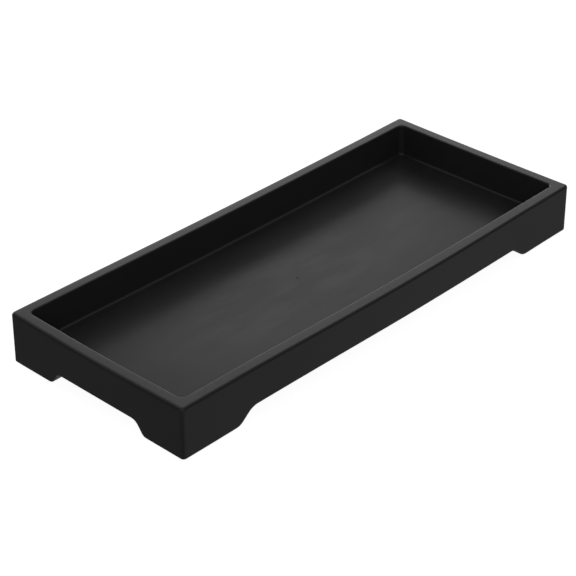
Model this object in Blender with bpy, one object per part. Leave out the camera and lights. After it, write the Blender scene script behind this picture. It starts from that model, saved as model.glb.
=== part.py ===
"""Low rectangular silicone tray on four corner feet, with a soft pad let into each foot.

Metres, +Z up. The origin is at the middle of the tray, on the surface that the pads rest on.
+X runs along the length, and the side that the tray is seen from is at -Y.
"""
import math

import bmesh
import bpy

# Overall size of the moulding
LENGTH = 0.300
WIDTH = 0.1239
TRAY_HEIGHT = 0.0293

# Well, wall and floor
WALL = 0.0068
FLOOR_THICKNESS = 0.0030
WELL_DRAFT = math.radians(1.0)
WELL_CORNER_RADIUS = 0.0032
FLOOR_FILLET = 0.0014

# Outer corners and edges
CORNER_RADIUS = 0.0021
RIM_OUTER_RADIUS = 0.0016
RIM_INNER_RADIUS = 0.0010
BASE_EDGE_RADIUS = 0.0010

# Feet: footprint on the ground, and the arch that leaves them on each side
FOOT_HEIGHT = 0.0072
FOOT_LENGTH = 0.03865
FOOT_WIDTH = 0.02835
LONG_ARCH_RUN = 0.0085
LONG_ARCH_HOLLOW = 0.0095
LONG_ARCH_TOE = 0.0075
SHORT_ARCH_RUN = 0.0052
SHORT_ARCH_HOLLOW = 0.0052
SHORT_ARCH_TOE = 0.0038
FOOT_INNER_RADIUS = 0.0025

# Pads and their seats
PAD_DIAMETER = 0.0140
PAD_THICKNESS = 0.0015
PAD_EDGE_RADIUS = 0.0004
SEAT_DEPTH = 0.0012
SEAT_CLEARANCE = 0.0003

# Flats that each kind of round is made of
CORNER_STEPS = 6
EDGE_STEPS = 5
BASE_EDGE_STEPS = 3
ARC_STEPS = 6
DISC_SIDES = 48

# How far cutters pass the faces they cut
OVERCUT = 0.005
# How far the arch's toe dips below the foot, so that it leaves the flat at a small angle
TOE_DIP = 0.00003

# Heights above the surface that the pads rest on
FOOT_UNDERSIDE = PAD_THICKNESS + SEAT_CLEARANCE - SEAT_DEPTH
SOFFIT = FOOT_UNDERSIDE + FOOT_HEIGHT
FLOOR = SOFFIT + FLOOR_THICKNESS
RIM = FOOT_UNDERSIDE + TRAY_HEIGHT


def clear_scene():
    for obj in list(bpy.data.objects):
        bpy.data.objects.remove(obj, do_unlink=True)


def new_collection(name):
    collection = bpy.data.collections.new(name)
    bpy.context.scene.collection.children.link(collection)
    return collection


def new_object(name, bm, collection):
    """Turn a finished bmesh into a named object."""
    mesh = bpy.data.meshes.new(name)
    bm.to_mesh(mesh)
    bm.free()
    obj = bpy.data.objects.new(name, mesh)
    collection.objects.link(obj)
    return obj


def new_material(name, colour, roughness):
    material = bpy.data.materials.new(name)
    material.use_nodes = True
    shader = material.node_tree.nodes["Principled BSDF"]
    shader.inputs["Base Color"].default_value = (*colour, 1.0)
    shader.inputs["Roughness"].default_value = roughness
    shader.inputs["Metallic"].default_value = 0.0
    return material


def round_edges(bm, edges, radius, segments, clamp=True):
    """Round the given edges with a circular profile."""
    bmesh.ops.bevel(
        bm, geom=edges, offset=radius, offset_type="OFFSET", affect="EDGES",
        segments=segments, profile=0.5, clamp_overlap=clamp,
    )


def box_with_well():
    """A plain block with the drafted well sunk in its top, its upright corners and floor rounded."""
    bm = bmesh.new()
    bmesh.ops.create_cube(bm, size=1.0)
    bmesh.ops.scale(bm, vec=(LENGTH, WIDTH, TRAY_HEIGHT), verts=bm.verts)
    bmesh.ops.translate(bm, vec=(0, 0, FOOT_UNDERSIDE + TRAY_HEIGHT / 2), verts=bm.verts)

    bm.normal_update()
    top = [face for face in bm.faces if face.normal.z > 0.5]
    bmesh.ops.inset_region(bm, faces=top, thickness=WALL, use_even_offset=True)
    floor = bmesh.ops.extrude_discrete_faces(bm, faces=top)["faces"][0]
    depth = RIM - FLOOR
    lean = depth * math.tan(WELL_DRAFT)
    for vert in floor.verts:
        vert.co.x -= math.copysign(lean, vert.co.x)
        vert.co.y -= math.copysign(lean, vert.co.y)
        vert.co.z -= depth

    upright = [edge for edge in bm.edges if abs(edge.verts[0].co.z - edge.verts[1].co.z) > depth / 2]
    outer = [edge for edge in upright if abs(edge.verts[0].co.x) > LENGTH / 2 - WALL / 2]
    inner = [edge for edge in upright if edge not in outer]
    round_edges(bm, outer, CORNER_RADIUS, CORNER_STEPS)
    round_edges(bm, inner, WELL_CORNER_RADIUS, CORNER_STEPS)

    floor_edges = []
    for edge in bm.edges:
        lowest, highest = sorted(vert.co.z for vert in edge.verts)
        if lowest > FLOOR - FLOOR_THICKNESS / 2 and highest < FLOOR + depth / 2:
            floor_edges.append(edge)
    # A fillet as large as the well's own corner would shrink that corner to a point
    widest_fillet = 0.9 * WELL_CORNER_RADIUS
    round_edges(bm, floor_edges, min(FLOOR_FILLET, widest_fillet), EDGE_STEPS)
    return bm


def arch_section(ground_half, run, hollow, toe):
    """An arch's end, from the soffit down to the ground, as (distance from middle, height)."""
    slope = math.atan2(FOOT_HEIGHT, run)
    half_tangent = math.tan(slope / 2)
    section = []
    centre = (ground_half - run - hollow * half_tangent, FOOT_HEIGHT - hollow)
    for step in range(ARC_STEPS + 1):
        turn = slope * step / ARC_STEPS
        section.append((centre[0] + hollow * math.sin(turn), centre[1] + hollow * math.cos(turn)))
    centre = (ground_half + toe * half_tangent, toe - TOE_DIP)
    for step in range(ARC_STEPS + 1):
        turn = slope * (1 - step / ARC_STEPS)
        section.append((centre[0] - toe * math.sin(turn), centre[1] - toe * math.cos(turn)))
    section.append((section[-1][0], -OVERCUT))
    return section


def arch_ring(long_point, short_point, long_ground, short_ground):
    """Plan of the space under the tray at one step of the sections: a cross with rounded inner corners.

    Round each foot the long side's section turns into the short side's, so the corner of the
    ring is a quarter of an ellipse about the foot's own upright axis, and its height blends too.
    """
    axis = (long_ground + FOOT_INNER_RADIUS, short_ground + FOOT_INNER_RADIUS)
    reach = (axis[0] - long_point[0], axis[1] - short_point[0])
    quarter = [(long_point[0], WIDTH / 2 + OVERCUT, long_point[1])]
    for step in range(CORNER_STEPS + 1):
        turn = math.pi / 2 * step / CORNER_STEPS
        share = math.sin(turn) ** 2
        height = long_point[1] * (1 - share) + short_point[1] * share
        quarter.append((axis[0] - reach[0] * math.cos(turn), axis[1] - reach[1] * math.sin(turn), height))
    quarter.append((LENGTH / 2 + OVERCUT, short_point[0], short_point[1]))
    ring = []
    for x_side, y_side in ((1, 1), (1, -1), (-1, -1), (-1, 1)):
        points = quarter if x_side == y_side else quarter[::-1]
        ring += [(x_side * x, y_side * y, FOOT_UNDERSIDE + z) for x, y, z in points]
    return ring


def make_arch_cutter(collection):
    """The space under the floor and between the feet, lofted from the soffit to below the ground."""
    long_ground = LENGTH / 2 - FOOT_LENGTH
    short_ground = WIDTH / 2 - FOOT_WIDTH
    long_section = arch_section(long_ground, LONG_ARCH_RUN, LONG_ARCH_HOLLOW, LONG_ARCH_TOE)
    short_section = arch_section(short_ground, SHORT_ARCH_RUN, SHORT_ARCH_HOLLOW, SHORT_ARCH_TOE)
    long_toe = long_section[-1][0]
    short_toe = short_section[-1][0]
    bm = bmesh.new()
    rings = []
    for long_point, short_point in zip(long_section, short_section):
        ring = arch_ring(long_point, short_point, long_toe, short_toe)
        rings.append([bm.verts.new(point) for point in ring])
    bm.faces.new(rings[0])
    bm.faces.new(rings[-1])
    for upper, lower in zip(rings, rings[1:]):
        for i in range(len(upper)):
            bm.faces.new((upper[i - 1], upper[i], lower[i], lower[i - 1]))
    bmesh.ops.recalc_face_normals(bm, faces=bm.faces)
    return as_cutter(new_object("arch_cutter", bm, collection))


def as_cutter(obj):
    obj.hide_render = True
    obj.display_type = "WIRE"
    return obj


def cut(obj, cutter):
    boolean = obj.modifiers.new("cut_" + cutter.name, "BOOLEAN")
    boolean.operation = "DIFFERENCE"
    boolean.solver = "EXACT"
    boolean.object = cutter


def bake_cuts(obj):
    """Replace the object's mesh by what its modifiers make of it."""
    evaluated = obj.evaluated_get(bpy.context.evaluated_depsgraph_get())
    mesh = bpy.data.meshes.new_from_object(evaluated)
    obj.modifiers.clear()
    obj.data = mesh


def faces_outward(face):
    """True on the tray's outer walls, whose normals lead away from the middle."""
    middle = face.calc_center_median()
    return face.normal.x * middle.x + face.normal.y * middle.y > 0


def round_tray_edges(obj):
    """Round the rim on both sides, and the outline of the base with its arches."""
    bm = bmesh.new()
    bm.from_mesh(obj.data)

    def between(first, second):
        """Edges with one face of each kind."""
        bm.normal_update()
        chosen = []
        for edge in bm.edges:
            one, other = edge.link_faces
            if (first(one) and second(other)) or (first(other) and second(one)):
                chosen.append(edge)
        return chosen

    def upright(face):
        return abs(face.normal.z) < 0.001

    def rim_top(face):
        return face.normal.z > 0.9 and face.calc_center_median().z > RIM - RIM_OUTER_RADIUS / 2

    def outer_wall(face):
        return upright(face) and faces_outward(face)

    def well_wall(face):
        return abs(face.normal.z) < 0.2 and not faces_outward(face)

    def underneath(face):
        return face.normal.z < -0.1

    round_edges(bm, between(outer_wall, underneath), BASE_EDGE_RADIUS, BASE_EDGE_STEPS)
    # The clamp would make this round smaller, though the upright corners leave room for it
    round_edges(bm, between(rim_top, outer_wall), RIM_OUTER_RADIUS, EDGE_STEPS, clamp=False)
    round_edges(bm, between(rim_top, well_wall), RIM_INNER_RADIUS, EDGE_STEPS)
    bm.to_mesh(obj.data)
    bm.free()


def foot_places():
    """Name and middle of each foot's print on the ground."""
    out = LENGTH / 2 - FOOT_LENGTH / 2
    back = WIDTH / 2 - FOOT_WIDTH / 2
    return (
        ("front_left", -out, -back),
        ("front_right", out, -back),
        ("back_left", -out, back),
        ("back_right", out, back),
    )


def disc(radius, height):
    """An upright cylinder standing on the origin."""
    bm = bmesh.new()
    bmesh.ops.create_cone(
        bm, cap_ends=True, segments=DISC_SIDES, radius1=radius, radius2=radius, depth=height)
    bmesh.ops.translate(bm, vec=(0, 0, height / 2), verts=bm.verts)
    return bm


def make_tray(parts, cutters):
    tray = new_object("tray", box_with_well(), parts)
    cut(tray, make_arch_cutter(cutters))
    bake_cuts(tray)
    round_tray_edges(tray)

    seat_radius = PAD_DIAMETER / 2 + SEAT_CLEARANCE
    for name, x, y in foot_places():
        bm = disc(seat_radius, SEAT_DEPTH + OVERCUT)
        seat = as_cutter(new_object("seat_cutter_" + name, bm, cutters))
        seat.location = (x, y, FOOT_UNDERSIDE - OVERCUT)
        cut(tray, seat)
    tray.data.shade_smooth()
    tray.data.set_sharp_from_angle(angle=math.radians(30))
    return tray


def make_pads(parts, tray):
    """Four like discs, each on the floor under its foot, with its lower edge rounded."""
    bm = disc(PAD_DIAMETER / 2, PAD_THICKNESS)
    lower = [edge for edge in bm.edges if all(vert.co.z < PAD_THICKNESS / 2 for vert in edge.verts)]
    round_edges(bm, lower, PAD_EDGE_RADIUS, BASE_EDGE_STEPS)
    pads = []
    mesh = None
    for name, x, y in foot_places():
        if mesh is None:
            pad = new_object("foot_pad_" + name, bm, parts)
            mesh = pad.data
            mesh.shade_smooth()
            mesh.set_sharp_from_angle(angle=math.radians(30))
        else:
            pad = bpy.data.objects.new("foot_pad_" + name, mesh)
            parts.objects.link(pad)
        pad.parent = tray
        pad.location = (x, y, 0)
        pads.append(pad)
    return pads


clear_scene()
tray_parts = new_collection("silicone_storage_tray")
tray_cutters = new_collection("cutters")
black_silicone = new_material("black_silicone", (0.022, 0.022, 0.022), 0.5)
grey_silicone = new_material("soft_grey_silicone", (0.06, 0.06, 0.062), 0.65)

tray_object = make_tray(tray_parts, tray_cutters)
tray_object.data.materials.append(black_silicone)
pad_objects = make_pads(tray_parts, tray_object)
pad_objects[0].data.materials.append(grey_silicone)
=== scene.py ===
import math

import bmesh
import bpy
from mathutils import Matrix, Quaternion, Vector


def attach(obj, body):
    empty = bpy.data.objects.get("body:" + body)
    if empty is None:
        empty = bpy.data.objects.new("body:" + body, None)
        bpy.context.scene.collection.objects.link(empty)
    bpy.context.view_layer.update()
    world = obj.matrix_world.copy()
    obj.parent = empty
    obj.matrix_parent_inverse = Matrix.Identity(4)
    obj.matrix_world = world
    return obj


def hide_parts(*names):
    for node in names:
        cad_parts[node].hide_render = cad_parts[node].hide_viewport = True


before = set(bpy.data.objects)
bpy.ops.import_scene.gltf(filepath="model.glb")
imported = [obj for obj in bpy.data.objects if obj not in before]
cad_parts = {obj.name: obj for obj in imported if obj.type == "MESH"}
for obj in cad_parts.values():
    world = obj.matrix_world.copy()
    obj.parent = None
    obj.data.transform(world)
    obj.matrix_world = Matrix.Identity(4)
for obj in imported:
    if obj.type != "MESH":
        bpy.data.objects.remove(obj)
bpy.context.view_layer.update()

# The tray: one moulding in matt black silicone, pressed in a steel mould in a single shot.
# Rim, walls, floor and the four corner feet are one piece, with no seam, screw or insert,
# and the rubber is limp enough to sag a little between the feet under its own weight.
tray_length, tray_width = 0.300, 0.1239
foot_underside, soffit, well_floor, rim = 0.0006, 0.0078, 0.0108, 0.0299
wall, wall_draft = 0.0068, math.radians(1.0)
bpy.ops.object.select_all(action="DESELECT")
bpy.ops.mesh.primitive_cube_add(size=1, location=(0, 0, (soffit + rim) / 2))
tray = bpy.context.object
tray.name = tray.data.name = "tray_moulding"
bpy.ops.transform.resize(value=(tray_length, tray_width, rim - soffit))
bpy.ops.object.transform_apply(location=True, rotation=True, scale=True)
bpy.ops.object.mode_set(mode="EDIT")
# How much of a face's normal points up or down: mostly on a level face, hardly on an upright one
mostly, hardly = 0.9, 0.1


def pick(moulding, kind, wanted):
    """In edit mode, select the corners, edges or faces that the test wants, and nothing else."""
    bpy.ops.mesh.select_mode(type=kind)
    bpy.ops.mesh.select_all(action="DESELECT")
    mesh = bmesh.from_edit_mesh(moulding.data)
    mesh.normal_update()
    for part in {"VERT": mesh.verts, "EDGE": mesh.edges, "FACE": mesh.faces}[kind]:
        if wanted(part):
            part.select_set(True)
    mesh.select_flush_mode()
    bmesh.update_edit_mesh(moulding.data)


def faces_up(face):
    return face.normal.z > mostly


# The well is sunk from the top, and its walls lean out by the mould's draft
well_depth = rim - well_floor
draft_in = well_depth * math.tan(wall_draft)
well_shrink = [1 - draft_in / (side / 2 - wall) for side in (tray_length, tray_width)]
pick(tray, "FACE", faces_up)
bpy.ops.mesh.inset(thickness=wall)
bpy.ops.mesh.extrude_region_move(TRANSFORM_OT_translate={"value": (0, 0, -well_depth)})
bpy.ops.transform.resize(value=(*well_shrink, 1), center_override=(0, 0, well_floor))

# The upright corners are rounded inside and out, and a fillet is run round the floor. Places closer
# than touching are one place, and faces that turn by less than flat_turn, in radians, are one flat.
outer_corner, well_corner, floor_fillet = 0.0021, 0.0032, 0.0014
corner_flats, fillet_flats = 8, 6
touching, flat_turn = 0.00002, 0.1


def middle(part):
    """The middle of an edge or a face."""
    return sum((corner.co for corner in part.verts), Vector()) / len(part.verts)


def near(value, target, slack=touching):
    return abs(value - target) < slack


def upright(edge):
    """True on an edge that runs up a corner."""
    return abs(edge.verts[0].co.z - edge.verts[1].co.z) > well_depth / 2


def outer_upright(edge):
    return upright(edge) and near(abs(middle(edge).x), tray_length / 2)


def well_upright(edge):
    return upright(edge) and abs(middle(edge).x) < tray_length / 2 - wall / 2


def round_the_floor(edge):
    return near(middle(edge).z, well_floor) and edge.calc_face_angle(0) >= flat_turn


def round_picked(radius, flats, clamp=True):
    """Round the selected edges off, each in so many flats."""
    bpy.ops.mesh.bevel(
        offset_type="OFFSET", offset=radius, segments=flats, profile=0.5, affect="EDGES", clamp_overlap=clamp)


for wanted, radius, flats in (
        (outer_upright, outer_corner, corner_flats), (well_upright, well_corner, corner_flats),
        (round_the_floor, floor_fillet, fillet_flats)):
    pick(tray, "EDGE", wanted)
    round_picked(radius, flats)

# The feet: their print on the ground, and how far each arch's side runs in on its way up to the
# soffit, with a hollow round at the top and a rounded toe at the bottom
foot_length, foot_width, foot_height = 0.03865, 0.02835, soffit - foot_underside
foot_inner_round, foot_inner_flats, foot_steps = 0.0025, 10, 6
long_arch = {"ground": tray_length / 2 - foot_length, "run": 0.0085, "hollow": 0.0095, "toe": 0.0075}
short_arch = {"ground": tray_width / 2 - foot_width, "run": 0.0052, "hollow": 0.0052, "toe": 0.0038}


def arch_reach(arch, height):
    """How far from the tray's middle an arch's side stands, at a height above the feet's undersides."""
    slope = math.atan2(foot_height, arch["run"])
    half_tangent = math.tan(slope / 2)
    hollow_drop, toe_rise = (arch[part] * (1 - math.cos(slope)) for part in ("hollow", "toe"))
    drop = foot_height - height
    if drop <= hollow_drop:
        start = arch["ground"] - arch["run"] - arch["hollow"] * half_tangent
        return start + math.sqrt(max(0, arch["hollow"] ** 2 - (arch["hollow"] - drop) ** 2))
    if height <= toe_rise:
        end = arch["ground"] + arch["toe"] * half_tangent
        return end - math.sqrt(max(0, arch["toe"] ** 2 - (arch["toe"] - height) ** 2))
    return arch["ground"] - height / math.tan(slope)


def foot_levels(steps):
    """Heights from the soffit down to the ground, closer together where the arches curve."""
    slope = math.atan2(foot_height, long_arch["run"])
    drops = [long_arch["hollow"] * (1 - math.cos(slope * step / steps)) for step in range(1, steps + 1)]
    rises = [long_arch["toe"] * (1 - math.cos(slope * step / steps)) for step in range(steps, -1, -1)]
    return [foot_height - drop for drop in drops] + rises


# Each foot's outline is drawn on the underside: it is cut across, what the cuts leave between the
# feet is cleared, and each foot's inner corner, where the arches meet, is rounded off nearly all the
# way to the next cuts. What then lies closer than merge_within is merged.
arches_top = [arch_reach(arch, foot_height) for arch in (long_arch, short_arch)]
foot_axis = [arch_reach(arch, 0) + foot_inner_round for arch in (long_arch, short_arch)]
hair, merge_within, round_percent = 0.0001, 0.00004, 99.9


def underneath(face):
    return face.normal.z < -mostly and near(middle(face).z, soffit)


def cut_across(axis, place, side=1, slack=hair):
    """Cut the selected faces square to an axis, at a place along it."""
    across = Vector((0, 0, 0))
    across[axis] = side
    bpy.ops.mesh.bisect(plane_co=across * place, plane_no=across, use_fill=False, threshold=slack)


def between_feet(edge):
    """True on a cut in the flat underside between the feet."""
    here = middle(edge)
    flat = all(near(corner.co.z, soffit) for corner in edge.verts) and edge.calc_face_angle(0) < flat_turn
    inside = abs(here.x) < tray_length / 2 - hair and abs(here.y) < tray_width / 2 - hair
    in_cross = abs(here.x) < arches_top[0] - hair or abs(here.y) < arches_top[1] - hair
    return flat and inside and in_cross


def arches_meet(corner):
    """True on the inner corner of a foot."""
    x, y, z = corner.co
    return near(z, soffit) and near(abs(x), arches_top[0]) and near(abs(y), arches_top[1])


for axis in (0, 1):
    for place in (arches_top[axis], foot_axis[axis]):
        for side in (-1, 1):
            pick(tray, "FACE", underneath)
            cut_across(axis, place, side)
pick(tray, "EDGE", between_feet)
bpy.ops.mesh.dissolve_edges(use_verts=False)
pick(tray, "VERT", arches_meet)
bpy.ops.mesh.bevel(
    offset_type="PERCENT", offset_pct=round_percent, segments=foot_inner_flats, profile=0.5,
    affect="VERTICES", clamp_overlap=False)
bpy.ops.mesh.select_all(action="SELECT")
bpy.ops.mesh.remove_doubles(threshold=merge_within)

# The feet are drawn down from the underside a step at a time, and their inner sides moved out at
# each step by as much as the arches say. The steps are small, so places are told apart more finely.
fine, finer = 0.00001, 0.000005


def foot_end(face, level):
    """True on the face that a foot ends in, once it is drawn down to a level."""
    here = middle(face)
    in_foot = abs(here.x) > arches_top[0] and abs(here.y) > arches_top[1]
    return face.normal.z < -mostly and near(here.z, level) and in_foot


def inner_side(corner, axis, side, level):
    """True on the part of a foot's end that lies towards the tray's middle along an axis."""
    return near(corner.co.z, level, finer) and 0 < corner.co[axis] * side < foot_axis[axis] - fine


height_before = foot_height
for height in foot_levels(foot_steps):
    pick(tray, "FACE", lambda face: foot_end(face, foot_underside + height_before))
    bpy.ops.mesh.extrude_region_move(TRANSFORM_OT_translate={"value": (0, 0, height - height_before)})
    for axis, arch in enumerate((long_arch, short_arch)):
        width_before, width = (foot_axis[axis] - arch_reach(arch, level) for level in (height_before, height))
        shrink = [1, 1, 1]
        shrink[axis] = width / width_before
        for side in (-1, 1):
            centre = [0, 0, 0]
            centre[axis] = side * foot_axis[axis]
            pick(tray, "VERT", lambda corner: inner_side(corner, axis, side, foot_underside + height))
            bpy.ops.transform.resize(value=shrink, center_override=centre)
    height_before = height

# Cuts that the modelling left across the flat walls and underside are cleared. The edges of the
# rounds turn by more than flat_within and stay.
rim_outer_round, rim_inner_round, base_round = 0.0016, 0.0008, 0.0010
flat_within = math.radians(0.3)
pick(tray, "FACE", lambda face: middle(face).z < rim - rim_outer_round)
bpy.ops.mesh.dissolve_limited(angle_limit=flat_within)
bpy.ops.object.mode_set(mode="OBJECT")

# A shallow round seat is sunk in the underside of each foot, for its pad
pad_diameter, pad_thickness = 0.0140, 0.0015
seat_depth, seat_clearance, seat_sides = 0.0012, 0.0003, 64
pad_places = {
    side_y + "_" + side_x: (x * (tray_length - foot_length) / 2, y * (tray_width - foot_width) / 2)
    for side_y, y in (("front", -1), ("back", 1)) for side_x, x in (("left", -1), ("right", 1))
}
for x, y in pad_places.values():
    bpy.ops.object.select_all(action="DESELECT")
    bpy.ops.mesh.primitive_cylinder_add(
        vertices=seat_sides, radius=pad_diameter / 2 + seat_clearance, depth=2 * seat_depth,
        location=(x, y, foot_underside))
    seat = bpy.context.object
    bpy.context.view_layer.objects.active = tray
    sink = tray.modifiers.new("sink_seat", "BOOLEAN")
    sink.operation, sink.solver, sink.object = "DIFFERENCE", "EXACT", seat
    bpy.ops.object.modifier_apply(modifier=sink.name)
    bpy.data.objects.remove(seat, do_unlink=True)


def faces_out(face):
    """True on the upright outer walls."""
    here, facing = middle(face), face.normal
    outermost = abs(here.x) > tray_length / 2 - outer_corner or abs(here.y) > tray_width / 2 - outer_corner
    return outermost and abs(facing.z) < hardly and facing.x * here.x + facing.y * here.y > 0


def faces_down(face):
    return face.normal.z < -hardly


def rim_top(face):
    return faces_up(face) and middle(face).z > rim - rim_outer_round / 2


def faces_well(face):
    """True on the well's walls."""
    return abs(face.normal.z) < hardly and not faces_out(face) and middle(face).z > well_floor


def between(first, second):
    """A test for the edges that have one face of each kind."""
    def wanted(edge):
        one, other = edge.link_faces
        return (first(one) and second(other)) or (first(other) and second(one))
    return wanted


def corner_line(edge):
    """True on a line that runs to a corner over the rim's flat top."""
    return all(rim_top(face) for face in edge.link_faces) and abs(middle(edge).x) > wall


# Every edge of the moulding is rounded, as its mould's polished edges leave it. The rim's top is
# parted half-way along, in place of at its corners, so that these round off evenly.
base_flats, rim_outer_flats, rim_inner_flats = 4, 7, 5
bpy.context.view_layer.objects.active = tray
tray.select_set(True)
bpy.ops.object.mode_set(mode="EDIT")
pick(tray, "EDGE", between(faces_out, faces_down))
round_picked(base_round, base_flats)
pick(tray, "FACE", rim_top)
cut_across(0, 0)
pick(tray, "EDGE", corner_line)
bpy.ops.mesh.dissolve_edges(use_verts=False)
pick(tray, "EDGE", between(rim_top, faces_out))
round_picked(rim_outer_round, rim_outer_flats, clamp=False)
pick(tray, "EDGE", between(rim_top, faces_well))
round_picked(rim_inner_round, rim_inner_flats)

# The long flat faces are cut across so that they can bend
for axis, side, spacing in ((0, tray_length, 0.0083), (1, tray_width, 0.0104)):
    cuts = int(side / spacing)
    for cut in range(cuts):
        bpy.ops.mesh.select_all(action="SELECT")
        cut_across(axis, spacing * (cut - (cuts - 1) / 2), slack=fine)
bpy.ops.object.mode_set(mode="OBJECT")

# The weight of the rubber bends the tray between its feet as an evenly loaded beam on two supports
# bends, and tips the feet a little on to their inner edges. The ends dip in the middle, more and
# more from end_start of the way out.
half_span, middle_drop, foot_tilt = 0.105, 0.00078, 0.0051
end_drop, end_start = 0.00048, 0.7
foot_rise = foot_tilt * (tray_length / 2 - half_span)

# No moulding this limp keeps its walls quite straight: their tops lean in by the mould's draft, and
# bow out most at the places given, each by so much and falling off to its reach. A bow grows faster
# than the height, and a wall's lean reaches a quarter of the tray's width in from it.
wall_draft_in = {"near_long": 0.00014, "back_long": 0.00024, "near_short": 0.00020, "far_short": 0.00022}
wall_bows = (
    ("near_long", 0.026, 0.135, 0.00129), ("back_long", 0.000, 0.120, 0.00030),
    ("back_long", 0.150, 0.045, 0.00060), ("near_short", 0.000, 0.060, 0.00060),
    ("far_short", 0.000, 0.060, 0.00020),
)
bow_growth, lean_reach = 1.5, tray_width / 4

# The near wall's base lies a little high or low along its way: place, reach and rise of each swell
base_swells = ((-0.065, 0.075, 0.00058), (0.045, 0.070, -0.00026), (0.145, 0.045, 0.00050))

# The near arches stand a little off their places: towards the left on the long side, and on the short
# side towards the front, more at the back foot than at the front one. The shift dies out upwards.
long_arch_shift, short_arch_shift, arch_shift_reach = 0.00040, {-1: 0.00040, 1: 0.00095}, 0.018
arch_middle = [arch_reach(arch, foot_height / 2) for arch in (long_arch, short_arch)]
shift_fall = 2.5


def swell(distance, reach):
    """One in the middle, falling smoothly to nothing at the reach."""
    return max(0, 1 - (distance / reach) ** 2) ** 2


for corner in tray.data.vertices:
    x, y, z = corner.co
    side_x, side_y = math.copysign(1, x), math.copysign(1, y)
    long_wall, short_wall = "near_long" if y < 0 else "back_long", "near_short" if x < 0 else "far_short"
    along, across = abs(x) / half_span, y / (tray_width / 2)
    height_share = (z - foot_underside) / (rim - foot_underside)
    wall_share = max(0, (z - soffit) / (rim - soffit)) ** bow_growth
    end_share = max(0, abs(x) / (tray_length / 2) - end_start) / (1 - end_start)
    near_share = max(0, -across) ** 2
    beside_long = max(0, (abs(y) - tray_width / 2 + lean_reach) / lean_reach)
    beside_short = max(0, (abs(x) - tray_length / 2 + lean_reach) / lean_reach)

    if along < 1:
        drop = foot_rise + middle_drop * (1 - 6 / 5 * along ** 2 + along ** 4 / 5)
    else:
        drop = foot_rise - foot_tilt * (abs(x) - half_span)
    drop += end_drop * end_share * (1 - across ** 2) * height_share
    for place, reach, rise in base_swells:
        drop -= rise * swell(x - place, reach) * near_share * (1 - height_share)

    lean_x, lean_y = wall_draft_in[short_wall] * height_share, wall_draft_in[long_wall] * height_share
    for wall_name, place, reach, bow in wall_bows:
        if wall_name == long_wall:
            lean_y -= bow * swell(x - place, reach) * wall_share
        elif wall_name == short_wall:
            lean_x -= bow * swell(y - place, reach) * wall_share

    low_share = max(0, 1 - height_share * shift_fall)
    near_end_share = max(0, -side_x * beside_short)
    shift_x = long_arch_shift * swell(abs(x) - arch_middle[0], arch_shift_reach) * near_share * low_share
    shift_y = short_arch_shift[int(side_y)] * swell(abs(y) - arch_middle[1], arch_shift_reach)
    shift_y *= near_end_share * low_share
    corner.co = (
        x - side_x * lean_x * beside_short - shift_x, y - side_y * lean_y * beside_long - shift_y, z - drop)

# Flat faces keep their own normals beside the rounds
smooth_below = math.radians(40)
bpy.ops.object.shade_smooth_by_angle(angle=smooth_below)
weigh = tray.modifiers.new("weigh_normals", "WEIGHTED_NORMAL")
weigh.keep_sharp = True
bpy.ops.object.modifier_apply(modifier=weigh.name)

# The silicone is matt black and coloured right through. Its look is put together from a few effects,
# each a node group that the pads' silicone takes too. First comes what places nodes and joins them.


def new_group(name, takes, gives):
    """A shader node group whose sockets are numbers, apart from the vectors Place and Reach."""
    group = bpy.data.node_groups.new(name, "ShaderNodeTree")
    for in_out, sockets in (("INPUT", takes), ("OUTPUT", gives)):
        for socket in sockets:
            kind = "NodeSocketVector" if socket in ("Place", "Reach") else "NodeSocketFloat"
            group.interface.new_socket(name=socket, in_out=in_out, socket_type=kind)
    return group, group.nodes.new("NodeGroupInput").outputs, group.nodes.new("NodeGroupOutput").inputs


def feed(tree, socket, value):
    """Join a node's socket to another node's, or set it."""
    if isinstance(value, bpy.types.NodeSocket):
        tree.links.new(value, socket)
    else:
        socket.default_value = value


def calculate(tree, operation, first, second):
    step = tree.nodes.new("ShaderNodeMath")
    step.operation = operation
    feed(tree, step.inputs[0], first)
    feed(tree, step.inputs[1], second)
    return step.outputs[0]


def per_metre(tree, size):
    """How many times a size goes into a metre, which is the scale that a noise takes."""
    return calculate(tree, "DIVIDE", 1.0, size)


def noise(tree, place, scale, detail, roughness):
    cloud = tree.nodes.new("ShaderNodeTexNoise")
    feed(tree, cloud.inputs["Vector"], place)
    feed(tree, cloud.inputs["Scale"], scale)
    cloud.inputs["Detail"].default_value = detail
    cloud.inputs["Roughness"].default_value = roughness
    return cloud.outputs["Fac"]


def spread(tree, value, low, high, to_low=0.0, to_high=1.0):
    """Stretch the part of a value between two limits over another range, softly at both ends."""
    stretch = tree.nodes.new("ShaderNodeMapRange")
    stretch.interpolation_type = "SMOOTHSTEP"
    numbers = {"Value": value, "From Min": low, "From Max": high, "To Min": to_low, "To Max": to_high}
    for socket, number in numbers.items():
        feed(tree, stretch.inputs[socket], number)
    return stretch.outputs["Result"]


# The skin that a spark-eroded mould leaves: a fine even grain on a very slight waviness, and the
# faint wide clouds of bloom that come up on silicone
wave_scale_share, wave_height = 0.12, 1.6
moulded_skin, takes, gives = new_group(
    "moulded_skin", takes=("Place", "Grain Size", "Cloud Size"), gives=("Height", "Clouds"))
grain_scale = per_metre(moulded_skin, takes["Grain Size"])
grain = noise(moulded_skin, takes["Place"], grain_scale, detail=2.0, roughness=0.6)
wave_scale = calculate(moulded_skin, "MULTIPLY", grain_scale, wave_scale_share)
waves = noise(moulded_skin, takes["Place"], wave_scale, detail=1.0, roughness=0.4)
raised_waves = calculate(moulded_skin, "MULTIPLY", waves, wave_height)
feed(moulded_skin, gives["Height"], calculate(moulded_skin, "ADD", grain, raised_waves))
cloud_scale = per_metre(moulded_skin, takes["Cloud Size"])
clouds = noise(moulded_skin, takes["Place"], cloud_scale, detail=1.0, roughness=0.5)
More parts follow.
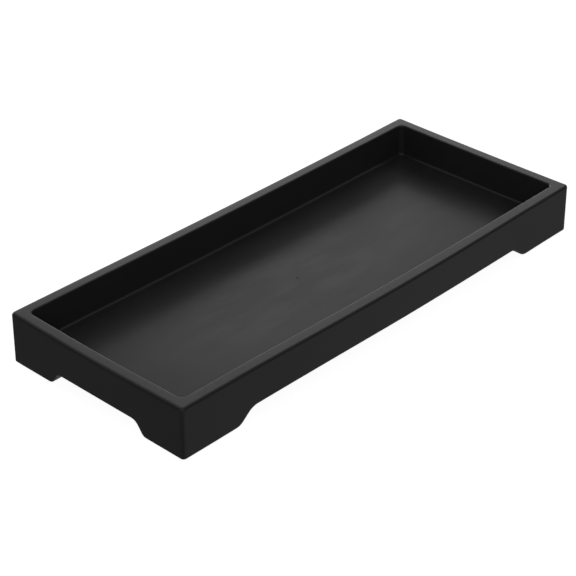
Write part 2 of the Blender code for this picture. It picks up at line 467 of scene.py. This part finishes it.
feed(moulded_skin, gives["Clouds"], spread(moulded_skin, clouds, low=0.15, high=0.85))

# Lint and dust, which silicone holds: here and there a speck, on what faces up. The surface falls
# into cells, and of these a share has one, each of its own size.
least_speck = 0.25
settled_dust, takes, gives = new_group(
    "settled_dust", takes=("Place", "Upward", "Spacing", "Share", "Speck Size"), gives=("Dust",))
cells = settled_dust.nodes.new("ShaderNodeTexVoronoi")
feed(settled_dust, cells.inputs["Vector"], takes["Place"])
feed(settled_dust, cells.inputs["Scale"], per_metre(settled_dust, takes["Spacing"]))
chance = settled_dust.nodes.new("ShaderNodeSeparateColor")
feed(settled_dust, chance.inputs["Color"], cells.outputs["Color"])
full_size = calculate(settled_dust, "DIVIDE", takes["Speck Size"], takes["Spacing"])
size_share = calculate(settled_dust, "ADD", chance.outputs["Green"], least_speck)
speck_size = calculate(settled_dust, "MULTIPLY", full_size, size_share)
way_out = calculate(settled_dust, "DIVIDE", cells.outputs["Distance"], speck_size)
speck = spread(settled_dust, way_out, low=0.7, high=1.0, to_low=1.0, to_high=0.0)
chosen = calculate(settled_dust, "LESS_THAN", chance.outputs["Red"], takes["Share"])
lies_flat = spread(settled_dust, takes["Upward"], low=0.5, high=0.9)
settled = calculate(settled_dust, "MULTIPLY", chosen, lies_flat)
feed(settled_dust, gives["Dust"], calculate(settled_dust, "MULTIPLY", speck, settled))

# Edges and ridges that hands and shelves have rubbed a little smoother, in patches
rubbed_edges, takes, gives = new_group(
    "rubbed_edges", takes=("Place", "Ridge", "Patch Size"), gives=("Rub",))
patch_scale = per_metre(rubbed_edges, takes["Patch Size"])
patches = noise(rubbed_edges, takes["Place"], patch_scale, detail=3.0, roughness=0.6)
patches = spread(rubbed_edges, patches, low=0.3, high=0.6)
ridge = spread(rubbed_edges, takes["Ridge"], low=0.515, high=0.60)
feed(rubbed_edges, gives["Rub"], calculate(rubbed_edges, "MULTIPLY", ridge, patches))


def height_of(tree, vector):
    """The upward part of a place or a direction."""
    parts = tree.nodes.new("ShaderNodeSeparateXYZ")
    feed(tree, parts.inputs["Vector"], vector)
    return parts.outputs["Z"]


# Painted sheen: the flat top of the rim, above a level and facing up, is painted a shade lighter,
# in faint streaks, to stand in for the brighter light that falls on it
streaks_per_metre = 700.0
painted_rim_sheen, takes, gives = new_group(
    "painted_rim_sheen", takes=("Place", "Upward", "Level"), gives=("Painted Sheen",))
over_level = calculate(painted_rim_sheen, "SUBTRACT", height_of(painted_rim_sheen, takes["Place"]), takes["Level"])
above = spread(painted_rim_sheen, over_level, low=0.0, high=0.001)
looks_up = spread(painted_rim_sheen, takes["Upward"], low=0.8, high=0.98)
level_top = calculate(painted_rim_sheen, "MULTIPLY", above, looks_up)
streaks = noise(painted_rim_sheen, takes["Place"], streaks_per_metre, detail=2.0, roughness=0.6)
streaks = spread(painted_rim_sheen, streaks, low=0.2, high=0.8, to_low=0.4, to_high=1.0)
feed(painted_rim_sheen, gives["Painted Sheen"], calculate(painted_rim_sheen, "MULTIPLY", level_top, streaks))


def vector_step(tree, operation, *vectors):
    step = tree.nodes.new("ShaderNodeVectorMath")
    step.operation = operation
    for socket, vector in zip(step.inputs, vectors):
        feed(tree, socket, vector)
    return step.outputs


# The marks that bottles leave as they are slid along a floor: soft lighter streaks and smudges along
# its length, most of them in its middle
streak_stretch = (0.3, 1, 1)
slid_marks, takes, gives = new_group(
    "slid_marks", takes=("Place", "Upward", "Streak Width", "Reach"), gives=("Marks",))
drawn_out = vector_step(slid_marks, "MULTIPLY", takes["Place"], streak_stretch)["Vector"]
streak_scale = per_metre(slid_marks, takes["Streak Width"])
fine_streaks = noise(slid_marks, drawn_out, streak_scale, detail=3.0, roughness=0.55)
fine_streaks = spread(slid_marks, fine_streaks, low=0.35, high=0.72)
from_middle = vector_step(slid_marks, "DIVIDE", takes["Place"], takes["Reach"])["Vector"]
way_out = vector_step(slid_marks, "LENGTH", from_middle)["Value"]
thickness = spread(slid_marks, way_out, low=0.2, high=1.0, to_low=1.0, to_high=0.15)
marks = calculate(slid_marks, "MULTIPLY", fine_streaks, thickness)
on_floor = spread(slid_marks, takes["Upward"], low=0.8, high=0.98)
feed(slid_marks, gives["Marks"], calculate(slid_marks, "MULTIPLY", marks, on_floor))


def use_group(tree, group, **values):
    placed = tree.nodes.new("ShaderNodeGroup")
    placed.node_tree = group
    for name, value in values.items():
        feed(tree, placed.inputs[name.replace("_", " ")], value)
    return placed.outputs


def blend_colours(tree, share, first, second):
    mix = tree.nodes.new("ShaderNodeMix")
    mix.data_type = "RGBA"
    feed(tree, mix.inputs["Factor"], share)
    feed(tree, mix.inputs["A"], first)
    feed(tree, mix.inputs["B"], second)
    return mix.outputs["Result"]


# What all silicone of this tray shares: how its dust lies, how large its rubbed patches are, the
# height above which its top gets a painted sheen, its streaks, its one burst bubble, and how much
# smoother rubbing makes it and how much duller dust and a bubble do
dust_spacing, dust_size, rubbed_patch, painted_sheen_level = 0.016, 0.00055, 0.02, 0.025
streak_width, streak_reach = 0.013, (0.13, 0.042, 1)
bubble_radius, bubble_edge = 0.0006, 0.0014
rub_polish, dust_dulling, bubble_dulling = 0.03, 0.4, 0.6
silicone_ior = 1.45


def silicone(name, colours, roughness, grain_size, grain_depth, cloud_size, dust_share, burst_bubble):
    """A matt silicone: skin with bloom, marks of use, painted top sheen, rubbed edges, settled dust, a
    pinhole.
    """
    material = bpy.data.materials.new(name)
    material.use_nodes = True
    tree = material.node_tree
    shader = tree.nodes["Principled BSDF"]
    place = tree.nodes.new("ShaderNodeTexCoord").outputs
    here, upward = place["Object"], height_of(tree, place["Normal"])
    ridge = tree.nodes.new("ShaderNodeNewGeometry").outputs["Pointiness"]
    skin = use_group(tree, moulded_skin, Place=here, Grain_Size=grain_size, Cloud_Size=cloud_size)
    rub = use_group(tree, rubbed_edges, Place=here, Ridge=ridge, Patch_Size=rubbed_patch)["Rub"]
    marks = use_group(
        tree, slid_marks, Place=here, Upward=upward, Streak_Width=streak_width, Reach=streak_reach)["Marks"]
    painted_sheen = use_group(tree, painted_rim_sheen, Place=here, Upward=upward, Level=painted_sheen_level)["Painted Sheen"]
    dust = use_group(
        tree, settled_dust, Place=here, Upward=upward, Spacing=dust_spacing, Share=dust_share,
        Speck_Size=dust_size)["Dust"]

    paints = {part: (*colour, 1) for part, colour in colours.items()}
    colour = paints["bare"]
    for part, share in (("bloom", skin["Clouds"]), ("marks", marks), ("painted_sheen", painted_sheen), ("dust", dust)):
        colour = blend_colours(tree, share, colour, paints[part])
    feed(tree, shader.inputs["Base Color"], colour)

    from_bubble = vector_step(tree, "DISTANCE", here, burst_bubble)["Value"]
    pinhole = spread(tree, from_bubble, low=bubble_radius, high=bubble_edge, to_low=1.0, to_high=0.0)
    polished = calculate(tree, "SUBTRACT", roughness, calculate(tree, "MULTIPLY", rub, rub_polish))
    dust_dulled = calculate(tree, "MULTIPLY", dust, dust_dulling)
    dulled = calculate(tree, "ADD", dust_dulled, calculate(tree, "MULTIPLY", pinhole, bubble_dulling))
    feed(tree, shader.inputs["Roughness"], calculate(tree, "ADD", polished, dulled))

    bump = tree.nodes.new("ShaderNodeBump")
    bump.inputs["Strength"].default_value = 1.0
    bump.inputs["Distance"].default_value = grain_depth
    feed(tree, bump.inputs["Height"], skin["Height"])
    feed(tree, shader.inputs["Normal"], bump.outputs["Normal"])
    shader.inputs["IOR"].default_value = silicone_ior
    return material


# The sheen colour listed for the rim's top is painted light: a lighter shade for the light the top catches
black_silicone = silicone(
    "black_silicone",
    colours={
        "bare": (0.026, 0.026, 0.0264), "bloom": (0.030, 0.030, 0.0303), "marks": (0.064, 0.064, 0.064),
        "painted_sheen": (0.055, 0.055, 0.055), "dust": (0.13, 0.13, 0.125)},
    roughness=0.29, grain_size=0.00035, grain_depth=0.000004, cloud_size=0.028, dust_share=0.12,
    burst_bubble=(-0.0033, 0.0026, 0.0103))
tray.data.materials.append(black_silicone)
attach(tray, "root")
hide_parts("tray")

# The foot pads: four like discs of softer grey silicone, punched from sheet with a slight taper and
# rounded on the wearing edge. Each is stuck in the seat of its foot and stands 0.6 mm proud of it,
# so that the tray doesn't slide.
pad_sides, pad_taper, pad_face_margin = 96, 0.985, 0.0005
pad_edge_round, pad_edge_flats, pad_top_round, pad_top_flats = 0.0004, 5, 0.00015, 3
bpy.ops.object.select_all(action="DESELECT")
bpy.ops.mesh.primitive_cylinder_add(
    vertices=pad_sides, radius=pad_diameter / 2, depth=pad_thickness, location=(0, 0, pad_thickness / 2))
first_pad = bpy.context.object
bpy.ops.object.transform_apply(location=True, rotation=True, scale=True)
bpy.ops.object.mode_set(mode="EDIT")
pick(first_pad, "FACE", faces_up)
bpy.ops.transform.resize(value=(pad_taper, pad_taper, 1), center_override=(0, 0, pad_thickness))
for height, radius, flats in (
        (0, pad_edge_round, pad_edge_flats), (pad_thickness, pad_top_round, pad_top_flats)):
    pick(first_pad, "EDGE", lambda edge: all(near(corner.co.z, height) for corner in edge.verts))
    round_picked(radius, flats)
for facing in (-1, 1):
    pick(first_pad, "FACE", lambda face: face.normal.z * facing > mostly and len(face.verts) == pad_sides)
    bpy.ops.mesh.inset(thickness=pad_face_margin)
    bpy.ops.mesh.poke()
bpy.ops.object.mode_set(mode="OBJECT")
bpy.ops.object.shade_smooth_by_angle(angle=smooth_below)
# The pads lie wholly below the level of the top's painted sheen, so that colour shows nowhere on them
pad_silicone = silicone(
    "soft_grey_silicone",
    colours={
        "bare": (0.052, 0.052, 0.054), "bloom": (0.070, 0.070, 0.071), "marks": (0.085, 0.085, 0.085),
        "painted_sheen": (0.080, 0.080, 0.081), "dust": (0.25, 0.25, 0.24)},
    roughness=0.55, grain_size=0.00025, grain_depth=0.000006, cloud_size=0.006, dust_share=0.0,
    burst_bubble=(0.1313, -0.0460, 0))
first_pad.data.materials.append(pad_silicone)
for corner_name, (x, y) in pad_places.items():
    bpy.ops.object.select_all(action="DESELECT")
    first_pad.select_set(True)
    bpy.context.view_layer.objects.active = first_pad
    bpy.ops.object.duplicate()
    pad = bpy.context.object
    pad.name = pad.data.name = "foot_pad_disc_" + corner_name
    pad.location = (x, y, 0)
    bpy.ops.object.transform_apply(location=True, rotation=True, scale=True)
    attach(pad, "root")
    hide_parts("foot_pad_" + corner_name)
bpy.data.objects.remove(first_pad, do_unlink=True)

# The floor that the tray stands on: white paper on a lit table, so that next to no shadow shows on
# it. It neither lights the tray nor shows in its sheen, because the studio's glow from below does.
ground_side, paper_shade, paper_glow = 8, 0.25, 0.95
bpy.ops.object.select_all(action="DESELECT")
bpy.ops.mesh.primitive_plane_add(size=ground_side, location=(0, 0, 0))
ground = bpy.context.object
ground.name = "ground"
paper = bpy.data.materials.new("paper")
paper.use_nodes = True
paper_shader = paper.node_tree.nodes["Principled BSDF"]
paper_shader.inputs["Base Color"].default_value = (paper_shade, paper_shade, paper_shade, 1)
paper_shader.inputs["Roughness"].default_value = 1.0
paper_shader.inputs["Emission Color"].default_value = (1, 1, 1, 1)
paper_shader.inputs["Emission Strength"].default_value = paper_glow
ground.data.materials.append(paper)
ground.visible_glossy = False
ground.visible_diffuse = False
ground.visible_shadow = False

# Studio light: a dim even room, brighter overhead, with a few soft glows in it, as diffused lamps
# give, the lit table below, and black cards low on the near sides, which take light away and keep
# the edges under the rim and at the corner dark
room_low, room_high, room_top = 0.125, 0.273, 0.7
world = bpy.data.worlds.new("studio")
world.use_nodes = True
room = world.node_tree
toward = room.nodes.new("ShaderNodeTexCoord").outputs["Generated"]
light = spread(room, height_of(room, toward), low=0.0, high=room_top, to_low=room_low, to_high=room_high)
# Each glow's bearing, height above the horizon and half-width in degrees, and its brightness. It
# fades by as many degrees as glow_edge says on both sides of its edge.
glow_edge = 8
glows = {
    "back": (46, 15, 10, 1.61), "top": (20, 45, 10, 1.01), "left_rear": (80, 5, 18, 3.5),
    "front": (226, 15, 50, 0.17), "table": (320, -60, 44, 0.111),
    "side_card": (142, -2, 18, -0.12), "front_card": (-51, -2, 18, -0.12),
    "corner_card": (226, -31, 20, -0.12),
}
for bearing, elevation, half_width, brightness in glows.values():
    bearing, elevation = math.radians(bearing), math.radians(elevation)
    level = math.cos(elevation)
    lamp = (level * math.cos(bearing), level * math.sin(bearing), math.sin(elevation))
    nearness = vector_step(room, "DOT_PRODUCT", toward, lamp)["Value"]
    outer, inner = (math.cos(math.radians(half_width + edge)) for edge in (glow_edge, -glow_edge))
    glow = spread(room, nearness, low=outer, high=inner, to_low=0.0, to_high=brightness)
    light = calculate(room, "ADD", light, glow)
feed(room, room.nodes["Background"].inputs["Strength"], light)
room.nodes["Background"].inputs["Color"].default_value = (1, 1, 1, 1)
bpy.context.scene.world = world
bpy.context.scene.view_settings.view_transform = "Standard"

# The camera, where the photograph's stood: its place, direction and lens are those at which the
# tray's outline falls on the photographed one, and it leans by a sixth of a degree as that did
camera_place = Vector((-0.62682, -0.582083, 0.52597))
camera_direction = Vector((0.61891, 0.58727, -0.52159))
camera_roll = math.radians(-0.1639)
lens_length, film_width = 116.82, 36
camera_data = bpy.data.cameras.new("camera")
camera = bpy.data.objects.new("camera", camera_data)
bpy.context.scene.collection.objects.link(camera)
camera.location = camera_place
camera.rotation_mode = "QUATERNION"
camera.rotation_quaternion = camera_direction.to_track_quat("-Z", "Y") @ Quaternion((0, 0, 1), camera_roll)
camera_data.lens = lens_length
camera_data.sensor_width = film_width
bpy.context.scene.camera = camera
